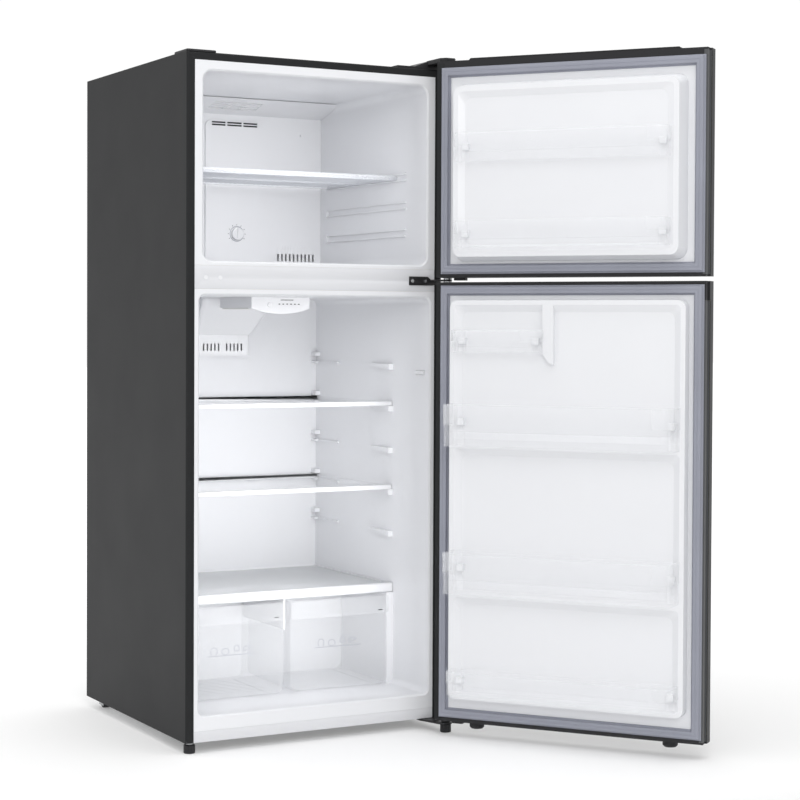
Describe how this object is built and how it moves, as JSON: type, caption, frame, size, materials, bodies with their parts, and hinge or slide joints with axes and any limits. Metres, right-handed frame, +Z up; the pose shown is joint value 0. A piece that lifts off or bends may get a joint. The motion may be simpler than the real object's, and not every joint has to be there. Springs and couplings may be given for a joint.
{
  "type": "top freezer refrigerator",
  "caption": "Free-standing top freezer refrigerator with both doors standing open, sliding shelves and drawers, and lift-off door bins.",
  "frame": {"origin": "on the floor under the middle of the bounding box, doors standing open", "axes": "+Z up, the cabinet runs back along +Y and its doors are hung on the +X side"},
  "size_m": [1.1027, 1.3292, 1.698],
  "materials": {
    "case_paint": "satin dark grey paint",
    "door_paint": "satin dark grey paint",
    "back_steel": "dull zinc coated sheet",
    "liner_white": "white vacuum formed sheet, satin gloss",
    "trim_white": "white enamel",
    "foam": "cellular insulation",
    "seal_grey": "soft matt",
    "clear_plastic": "clear moulded",
    "shelf_glass": "polished tempered sheet",
    "white_plastic": "moulded white",
    "grey_plastic": "translucent grey moulded",
    "dark_plastic": "fine grained black",
    "grip_plastic": "grey moulded strip",
    "hinge_steel": "dark coated pressed steel",
    "screw_steel": "bright plated",
    "compressor_paint": "black enamel",
    "black_rubber": "soft matt",
    "fin_aluminium": "plain drawn",
    "lamp_cover": "frosted"
  },
  "bodies": {
    "cabinet": {"cabinet_shell": "case_paint", "cabinet_back": "back_steel", "freezer_liner": "liner_white", "fridge_liner": "liner_white", "cabinet_foam": "foam", "mullion_cover": "trim_white", "mullion_plugs": "white_plastic", "front_rail": "trim_white", "base_frame": "back_steel", "corner_cap": "dark_plastic", "top_hinge": "hinge_steel", "top_hinge_cover": "dark_plastic", "middle_hinge": "hinge_steel", "bottom_hinge": "hinge_steel", "hinge_screws": "screw_steel", "compressor": "compressor_paint", "compressor_mounts": "black_rubber", "rear_cover": "back_steel", "power_inlet": "dark_plastic", "evaporator_cover": "white_plastic", "evaporator": "fin_aluminium", "fan_motor": "dark_plastic", "air_duct": "white_plastic", "control_housing": "white_plastic", "lamp_lens": "lamp_cover", "crisper_cover_frame": "white_plastic", "crisper_cover_glass": "shelf_glass"},
    "freezer_door": {"freezer_door_skin": "door_paint", "freezer_door_caps": "dark_plastic", "freezer_door_trim": "grip_plastic", "freezer_door_foam": "foam", "freezer_door_liner": "liner_white", "freezer_door_gasket": "seal_grey"},
    "fridge_door": {"fridge_door_skin": "door_paint", "fridge_door_caps": "dark_plastic", "fridge_door_trim": "grip_plastic", "fridge_door_foam": "foam", "fridge_door_liner": "liner_white", "fridge_door_gasket": "seal_grey"},
    "right_crisper": {"crisper_right": "clear_plastic"},
    "left_crisper": {"crisper_left": "clear_plastic"},
    "freezer_rack": {"freezer_shelf": "grey_plastic"},
    "upper_glass_shelf": {"upper_shelf_trim": "white_plastic", "upper_shelf_glass": "shelf_glass"},
    "lower_glass_shelf": {"lower_shelf_trim": "white_plastic", "lower_shelf_glass": "shelf_glass"},
    "temperature_knob": {"freezer_knob": "white_plastic"},
    "mode_button": {"control_button": "white_plastic"},
    "door_switch": {"light_switch": "white_plastic"},
    "fan": {"evaporator_fan": "dark_plastic"},
    "left_roller": {"rear_roller_left": "dark_plastic"},
    "right_roller": {"rear_roller_right": "dark_plastic"},
    "left_foot": {"foot_left": "dark_plastic"},
    "right_foot": {"foot_right": "dark_plastic"},
    "freezer_bin_upper_body": {"freezer_bin_upper": "clear_plastic"},
    "freezer_bin_lower_body": {"freezer_bin_lower": "clear_plastic"},
    "dairy_bin_body": {"dairy_bin": "clear_plastic"},
    "fridge_bin_upper_body": {"fridge_bin_upper": "clear_plastic"},
    "fridge_bin_middle_body": {"fridge_bin_middle": "clear_plastic"},
    "fridge_bin_lower_body": {"fridge_bin_lower": "clear_plastic"}
  },
  "joints": [
    {"name": "freezer_door_hinge", "type": "hinge", "parent": "cabinet", "child": "freezer_door", "pos_m": [0.1346, -0.0804, 1.4], "axis": [0, 0, 1], "range_deg": [-126.9, 7]},
    {"name": "fridge_door_hinge", "type": "hinge", "parent": "cabinet", "child": "fridge_door", "pos_m": [0.1346, -0.0804, 0.58], "axis": [0, 0, 1], "range_deg": [-126.9, 7]},
    {"name": "right_crisper_slide", "type": "slide", "parent": "cabinet", "child": "right_crisper", "axis": [0, -1, 0], "range_m": [0, 0.24]},
    {"name": "left_crisper_slide", "type": "slide", "parent": "cabinet", "child": "left_crisper", "axis": [0, -1, 0], "range_m": [0, 0.24]},
    {"name": "freezer_shelf_slide", "type": "slide", "parent": "cabinet", "child": "freezer_rack", "axis": [0, -1, 0], "range_m": [0, 0.18]},
    {"name": "upper_shelf_slide", "type": "slide", "parent": "cabinet", "child": "upper_glass_shelf", "axis": [0, -1, 0], "range_m": [0, 0.2]},
    {"name": "lower_shelf_slide", "type": "slide", "parent": "cabinet", "child": "lower_glass_shelf", "axis": [0, -1, 0], "range_m": [0, 0.2]},
    {"name": "freezer_knob_turn", "type": "hinge", "parent": "cabinet", "child": "temperature_knob", "pos_m": [-0.1544, 0.5656, 1.277], "axis": [0, 1, 0], "range_deg": [-135, 135]},
    {"name": "control_button_press", "type": "slide", "parent": "cabinet", "child": "mode_button", "axis": [0, 1, 0], "range_m": [0, 0.0015], "stiffness_N_per_m": 600},
    {"name": "light_switch_press", "type": "slide", "parent": "cabinet", "child": "door_switch", "axis": [1, 0, 0], "range_m": [0, 0.004], "stiffness_N_per_m": 300},
    {"name": "evaporator_fan_spin", "type": "hinge", "parent": "cabinet", "child": "fan", "pos_m": [-0.1614, 0.5916, 1.492], "axis": [0, 1, 0], "continuous": true},
    {"name": "left_roller_spin", "type": "hinge", "parent": "cabinet", "child": "left_roller", "pos_m": [-0.5134, 0.6156, 0.014], "axis": [1, 0, 0], "continuous": true},
    {"name": "right_roller_spin", "type": "hinge", "parent": "cabinet", "child": "right_roller", "pos_m": [0.1106, 0.6156, 0.014], "axis": [1, 0, 0], "continuous": true},
    {"name": "left_foot_turn", "type": "hinge", "parent": "cabinet", "child": "left_foot", "pos_m": [-0.5334, -0.0044, 0.01], "axis": [0, 0, 1], "continuous": true},
    {"name": "right_foot_turn", "type": "hinge", "parent": "cabinet", "child": "right_foot", "pos_m": [0.1346, -0.0804, 0.01], "axis": [0, 0, 1], "continuous": true},
    {"name": "freezer_bin_upper_lift", "type": "slide", "parent": "freezer_door", "child": "freezer_bin_upper_body", "axis": [0, 0, 1], "range_m": [0, 0.03]},
    {"name": "freezer_bin_lower_lift", "type": "slide", "parent": "freezer_door", "child": "freezer_bin_lower_body", "axis": [0, 0, 1], "range_m": [0, 0.03]},
    {"name": "dairy_bin_lift", "type": "slide", "parent": "fridge_door", "child": "dairy_bin_body", "axis": [0, 0, 1], "range_m": [0, 0.03]},
    {"name": "fridge_bin_upper_lift", "type": "slide", "parent": "fridge_door", "child": "fridge_bin_upper_body", "axis": [0, 0, 1], "range_m": [0, 0.03]},
    {"name": "fridge_bin_middle_lift", "type": "slide", "parent": "fridge_door", "child": "fridge_bin_middle_body", "axis": [0, 0, 1], "range_m": [0, 0.03]},
    {"name": "fridge_bin_lower_lift", "type": "slide", "parent": "fridge_door", "child": "fridge_bin_lower_body", "axis": [0, 0, 1], "range_m": [0, 0.03]}
  ]
}
